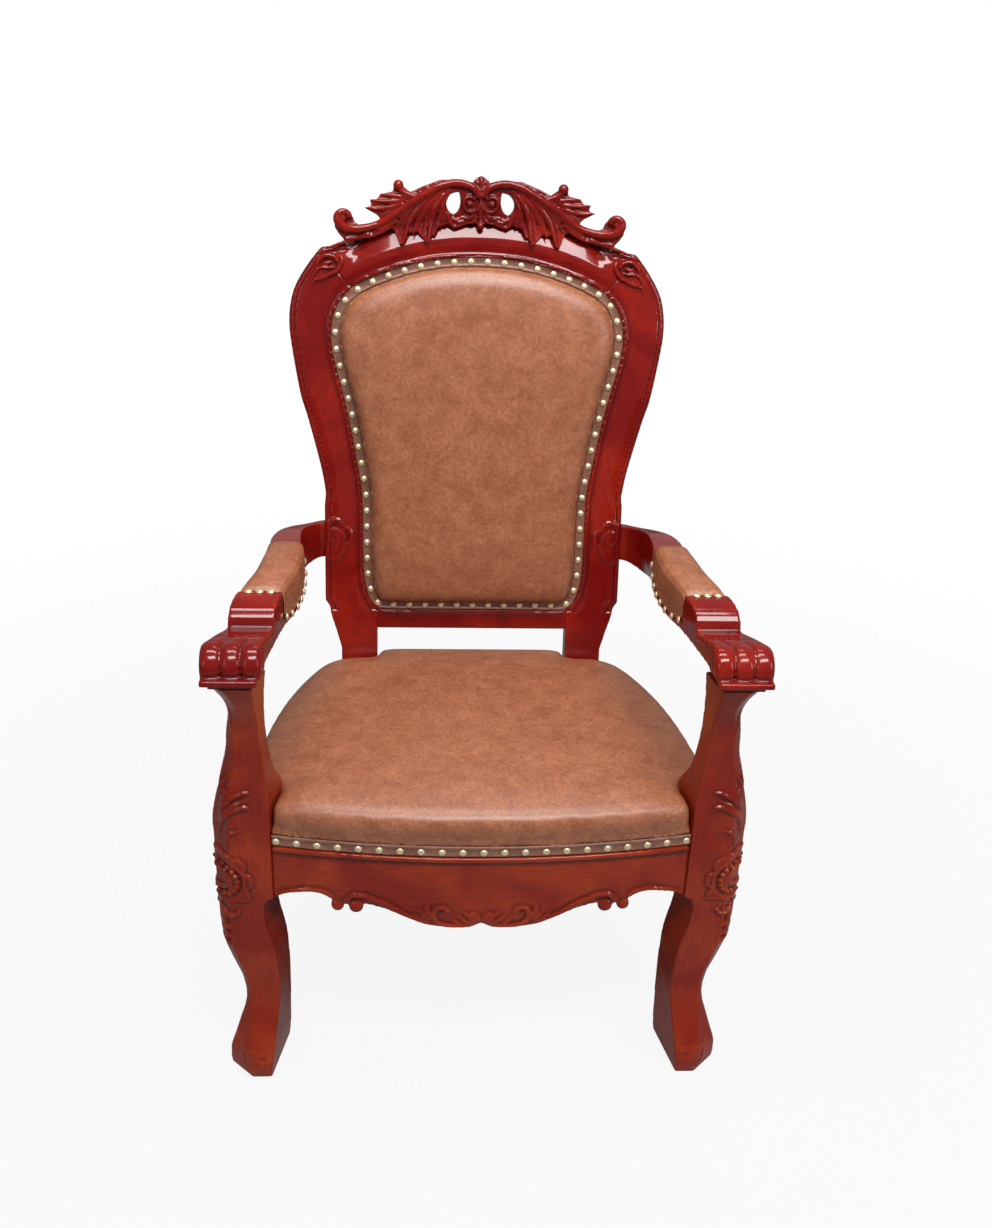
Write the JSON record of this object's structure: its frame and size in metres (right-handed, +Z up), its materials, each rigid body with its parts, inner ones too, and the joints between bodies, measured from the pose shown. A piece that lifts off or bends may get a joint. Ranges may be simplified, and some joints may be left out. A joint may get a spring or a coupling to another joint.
{
  "type": "armchair",
  "caption": "Carved, red-lacquered hardwood armchair with cabriole front legs, a pierced crest and nailed leather seat, back and arm pads.",
  "frame": {"origin": "on the floor, under the middle of the bounding box", "axes": "-Y towards the front of the chair, +X to the sitter's left, +Z up"},
  "size_m": [0.7076, 0.632, 1.1553],
  "materials": {
    "wood": "gloss lacquer",
    "inner_wood": "raw",
    "leather": "waxed, mottled",
    "leather_trim": "waxed",
    "brass": "polished",
    "foam": "open foam",
    "steel": "zinc plated",
    "dust_fabric": "woven",
    "glide": "matte"
  },
  "bodies": {
    "root": {"front_post_left": "wood", "front_post_right": "wood", "back_stile_left": "wood", "back_stile_right": "wood", "top_rail": "wood", "crest_carving": "wood", "lower_back_rail": "wood", "front_seat_rail": "wood", "side_seat_rail_left": "wood", "side_seat_rail_right": "wood", "back_seat_rail": "wood", "corner_blocks": "inner_wood", "corner_block_screws": "steel", "rail_dowels": "inner_wood", "back_frame_dowels": "inner_wood", "arm_left": "wood", "arm_right": "wood", "arm_dowels": "inner_wood", "floor_glides": "glide", "seat_board": "inner_wood", "seat_board_screws": "steel", "seat_foam": "foam", "seat_cover": "leather", "seat_trim_band": "leather_trim", "seat_nails": "brass", "dust_cover": "dust_fabric", "back_board": "inner_wood", "back_foam": "foam", "back_cover": "leather", "back_trim_band": "leather_trim", "back_nails": "brass", "rear_cover": "leather_trim", "rear_trim_band": "leather_trim", "rear_nails": "brass", "arm_pad_left": "foam", "arm_pad_right": "foam", "arm_cover_left": "leather", "arm_cover_right": "leather", "arm_nails_left": "brass", "arm_nails_right": "brass"}
  },
  "joints": []
}
